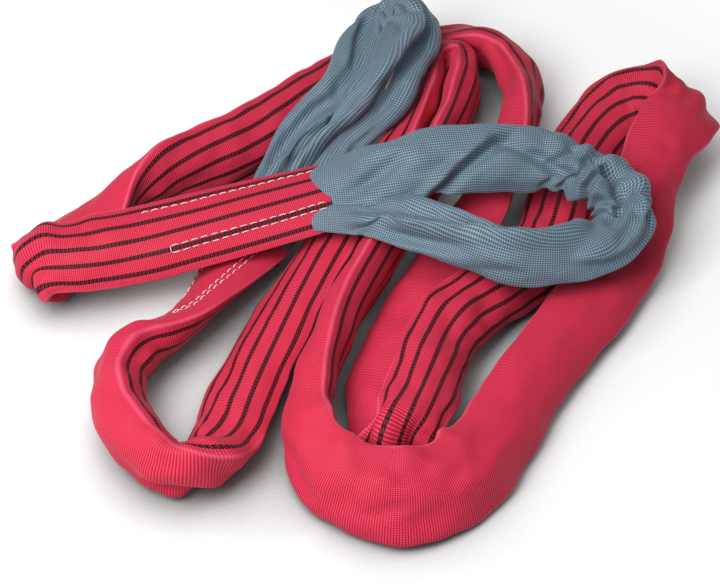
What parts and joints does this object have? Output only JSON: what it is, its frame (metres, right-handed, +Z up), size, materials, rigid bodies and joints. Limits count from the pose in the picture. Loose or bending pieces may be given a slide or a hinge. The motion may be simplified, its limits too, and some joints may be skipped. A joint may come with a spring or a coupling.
{
  "type": "eye-and-eye round sling",
  "caption": "Folded textile round sling: endless yarn hank in a red striped woven sleeve, with a grey sleeved eye sewn at each end.",
  "frame": {"origin": "middle of the folded bundle's footprint, on the floor", "axes": "+Z up, +X along the bundle's longer side from the throat fold at the left, +Y to the back where the back eye lies"},
  "size_m": [0.7157, 0.6705, 0.1066],
  "materials": {
    "red_sleeve": "woven polyester, satin, with five black warp stripes on one face",
    "grey_sleeve": "open woven polyester, satin",
    "core_yarn": "untwisted filament yarn",
    "white_thread": "bonded sewing thread"
  },
  "bodies": {
    "root": {"body_sleeve": "red_sleeve", "core_hank": "core_yarn", "eye_sleeve_front": "grey_sleeve", "eye_sleeve_back": "grey_sleeve", "seam_upper_front": "white_thread", "seam_lower_front": "white_thread", "seam_upper_back": "white_thread", "seam_lower_back": "white_thread"}
  },
  "joints": []
}
